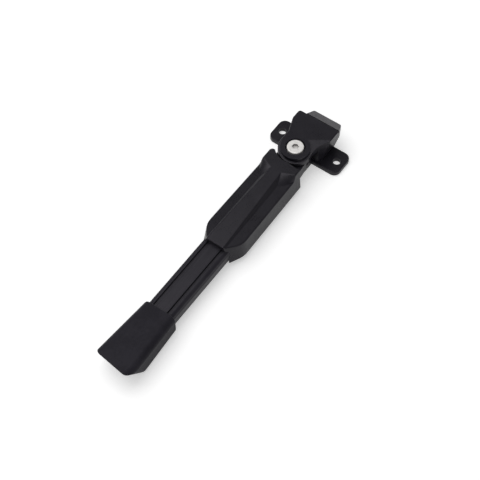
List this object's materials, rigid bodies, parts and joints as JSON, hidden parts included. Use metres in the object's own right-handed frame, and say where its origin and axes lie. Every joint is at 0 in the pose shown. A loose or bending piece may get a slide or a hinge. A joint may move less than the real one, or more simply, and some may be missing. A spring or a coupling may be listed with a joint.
{
  "type": "electric scooter kickstand",
  "caption": "Folding scooter kickstand: a bolt-on pivot bracket, a creased cast arm, a grooved bar nested in it and a slanted rubber foot.",
  "frame": {"origin": "midway between the two tab holes, on the flange's back face", "axes": "+X from the bracket to the foot, +Y to the side the arm folds to, +Z out of the flange towards the pivot bolt's head"},
  "size_m": [0.2816, 0.0686, 0.0277],
  "materials": {
    "bracket_black": "semi-gloss black coating on cast alloy",
    "arm_black": "semi-gloss black coating on cast alloy",
    "bar_black": "satin black coating on a drawn alloy bar",
    "boot_rubber": "matte black rubber",
    "bright_steel": "bright plated steel",
    "bronze": "sintered bronze",
    "nylon": "natural nylon"
  },
  "bodies": {
    "bracket": {"mounting_bracket": "bracket_black", "pivot_bolt": "bright_steel", "pivot_nut": "bright_steel", "pivot_sleeve": "bright_steel", "lower_thrust_washer": "nylon", "upper_thrust_washer": "nylon", "detent_spring": "bright_steel"},
    "stand": {"arm_housing": "arm_black", "pivot_bush": "bronze", "leg_bar": "bar_black", "leg_screws": "bright_steel", "foot_boot": "boot_rubber"},
    "detent": {"detent_plunger": "bright_steel"}
  },
  "joints": [
    {"name": "arm_fold", "type": "hinge", "parent": "bracket", "child": "stand", "pos_m": [0.0224, 0, 0.0134], "axis": [0, 0, 1], "range_deg": [0, 85]},
    {"name": "plunger_slide", "type": "slide", "parent": "bracket", "child": "detent", "axis": [1, 0, 0], "range_m": [0, 0.0012], "stiffness_N_per_m": 1500, "springref_m": 0.006, "deforming": ["detent_spring"]}
  ]
}
